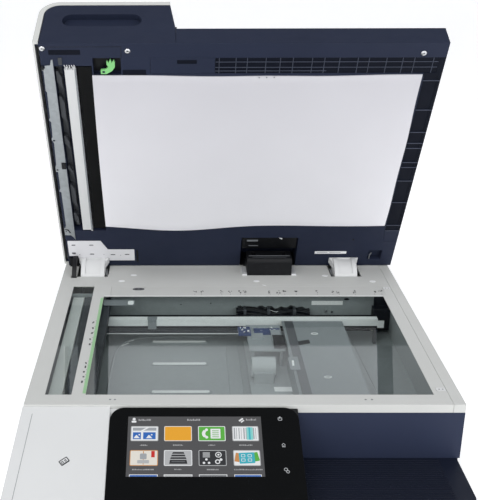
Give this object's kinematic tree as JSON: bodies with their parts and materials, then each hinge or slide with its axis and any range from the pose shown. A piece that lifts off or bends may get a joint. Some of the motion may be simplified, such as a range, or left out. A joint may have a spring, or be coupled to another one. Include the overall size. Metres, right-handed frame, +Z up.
{
  "type": "flatbed scanner",
  "caption": "Large-format flatbed scanner with a lifting lid, automatic document feeder, hinged cover and tray, and a sloping touch console.",
  "frame": {"origin": "middle of the four fixing holes in the base plate's underside", "axes": "+X to the right, +Y to the back where the lid is hinged, +Z up"},
  "size_m": [0.567, 0.6736, 0.5561],
  "materials": {
    "light_plastic": "fine moulded texture",
    "strip_plastic": "satin",
    "white_plastic": "fine moulded texture",
    "navy_plastic": "fine moulded texture",
    "black_plastic": "satin",
    "gloss_black": "polished",
    "screen": "polished glass front",
    "plate_glass": "polished",
    "zinc_steel": "zinc plated sheet",
    "pan_steel": "satin",
    "bright_steel": "plated",
    "motor_steel": "satin",
    "foot_rubber": "matte",
    "belt_rubber": "matte",
    "roller_rubber": "matte",
    "mat_foam": "soft white face sheet on foam",
    "dark_plastic": "satin",
    "grey_plastic": "satin",
    "ivory_plastic": "satin",
    "lamp_plastic": "frosted",
    "mirror_glass": "polished",
    "board_blue": "solder mask",
    "board_green": "solder mask",
    "green_plastic": "satin"
  },
  "bodies": {
    "case": {"base_plate": "zinc_steel", "rubber_feet": "foot_rubber", "plinth": "navy_plastic", "outer_case": "light_plastic", "front_cover": "navy_plastic", "top_frame": "light_plastic", "ruler_strip": "strip_plastic", "right_trim": "light_plastic", "rear_deck": "light_plastic", "platen_glass": "plate_glass", "feeder_glass": "plate_glass", "glass_clips": "white_plastic", "base_pan": "pan_steel", "guide_rails": "zinc_steel", "drive_belt": "belt_rubber", "scan_motor": "motor_steel", "lens_bracket": "zinc_steel", "lens_barrel": "black_plastic", "sensor_board": "board_blue", "optics_cover": "pan_steel", "ribbon_cable": "grey_plastic", "control_board": "board_green", "power_inlet": "black_plastic", "harness_duct": "black_plastic", "duct_brackets": "zinc_steel", "hinge_brackets": "zinc_steel", "hinge_pins": "bright_steel", "console_housing": "white_plastic", "panel_bezel": "gloss_black", "display": "screen"},
    "lid": {"lid_base": "navy_plastic", "lid_top": "navy_plastic", "feeder_front": "navy_plastic", "feeder_rear": "navy_plastic", "feed_chassis": "dark_plastic", "platen_mat": "mat_foam", "mat_trim": "black_plastic", "backing_bar": "white_plastic", "guide_plate": "zinc_steel", "guide_ribs": "dark_plastic", "label_plate": "white_plastic", "hinge_blocks": "white_plastic", "sensor_arm": "black_plastic", "lid_screws": "bright_steel"},
    "scan_carriage": {"scan_carriage": "dark_plastic", "lamp": "lamp_plastic", "carriage_mirror": "mirror_glass"},
    "half_carriage": {"half_carriage": "dark_plastic", "fold_mirrors": "mirror_glass"},
    "drive_pulley": {"drive_pulley": "ivory_plastic"},
    "idler_pulley": {"idler_pulley": "ivory_plastic"},
    "feeder_cover": {"feeder_cover": "light_plastic"},
    "input_tray": {"input_tray": "navy_plastic"},
    "front_guide": {"front_guide": "grey_plastic"},
    "rear_guide": {"rear_guide": "grey_plastic"},
    "feed_roller": {"feed_roller": "roller_rubber"},
    "exit_roller": {"exit_roller": "roller_rubber"},
    "pick_arm": {"pick_arm": "ivory_plastic"},
    "pick_roller": {"pick_roller": "roller_rubber"},
    "release_lever": {"release_lever": "green_plastic"}
  },
  "joints": [
    {"name": "lid_hinge", "type": "hinge", "parent": "case", "child": "lid", "pos_m": [0, 0.19, 0.0855], "axis": [-1, 0, 0], "range_deg": [-62.7, 0]},
    {"name": "carriage_slide", "type": "slide", "parent": "case", "child": "scan_carriage", "axis": [1, 0, 0], "range_m": [0, 0.44]},
    {"name": "half_carriage_slide", "type": "slide", "parent": "case", "child": "half_carriage", "axis": [1, 0, 0], "range_m": [0, 0.22]},
    {"name": "drive_pulley_spin", "type": "hinge", "parent": "case", "child": "drive_pulley", "pos_m": [-0.236, 0.068, 0.0545], "axis": [0, 1, 0], "continuous": true},
    {"name": "idler_pulley_spin", "type": "hinge", "parent": "case", "child": "idler_pulley", "pos_m": [0.226, 0.068, 0.0545], "axis": [0, 1, 0], "continuous": true},
    {"name": "feeder_cover_hinge", "type": "hinge", "parent": "lid", "child": "feeder_cover", "pos_m": [-0.2725, 0.10284, 0.30778], "axis": [0, -0.4587, 0.8886], "range_deg": [0, 70]},
    {"name": "input_tray_tilt", "type": "hinge", "parent": "lid", "child": "input_tray", "pos_m": [-0.0903, 0.14429, 0.33649], "axis": [0, -0.4587, 0.8886], "range_deg": [0, 30]},
    {"name": "front_guide_slide", "type": "slide", "parent": "input_tray", "child": "front_guide", "axis": [0, 0.4587, -0.8886], "range_m": [0, 0.095]},
    {"name": "rear_guide_slide", "type": "slide", "parent": "input_tray", "child": "rear_guide", "axis": [0, 0.4587, -0.8886], "range_m": [-0.095, 0]},
    {"name": "feed_roller_spin", "type": "hinge", "parent": "lid", "child": "feed_roller", "pos_m": [-0.232, 0.14163, 0.33512], "axis": [0, 0.4587, -0.8886], "continuous": true},
    {"name": "exit_roller_spin", "type": "hinge", "parent": "lid", "child": "exit_roller", "pos_m": [-0.112, 0.13096, 0.32961], "axis": [0, 0.4587, -0.8886], "continuous": true},
    {"name": "pick_arm_pivot", "type": "hinge", "parent": "lid", "child": "pick_arm", "pos_m": [-0.165, 0.15762, 0.34337], "axis": [0, -0.4587, 0.8886], "range_deg": [0, 12]},
    {"name": "pick_roller_spin", "type": "hinge", "parent": "pick_arm", "child": "pick_roller", "pos_m": [-0.125, 0.15475, 0.3402], "axis": [0, 0.4587, -0.8886], "continuous": true},
    {"name": "release_lever_pivot", "type": "hinge", "parent": "lid", "child": "release_lever", "pos_m": [-0.184, 0.01459, 0.46569], "axis": [0, 0.8886, 0.4587], "range_deg": [-14, 0]}
  ],
  "couplings": [
    {"joint": "half_carriage_slide", "follows": "carriage_slide", "ratio": 0.5},
    {"joint": "drive_pulley_spin", "follows": "carriage_slide", "rad_per_m": 116.28},
    {"joint": "idler_pulley_spin", "follows": "carriage_slide", "rad_per_m": 116.28},
    {"joint": "rear_guide_slide", "follows": "front_guide_slide", "ratio": -1},
    {"joint": "exit_roller_spin", "follows": "feed_roller_spin", "ratio": -2.4},
    {"joint": "pick_roller_spin", "follows": "feed_roller_spin", "ratio": -1.8}
  ]
}
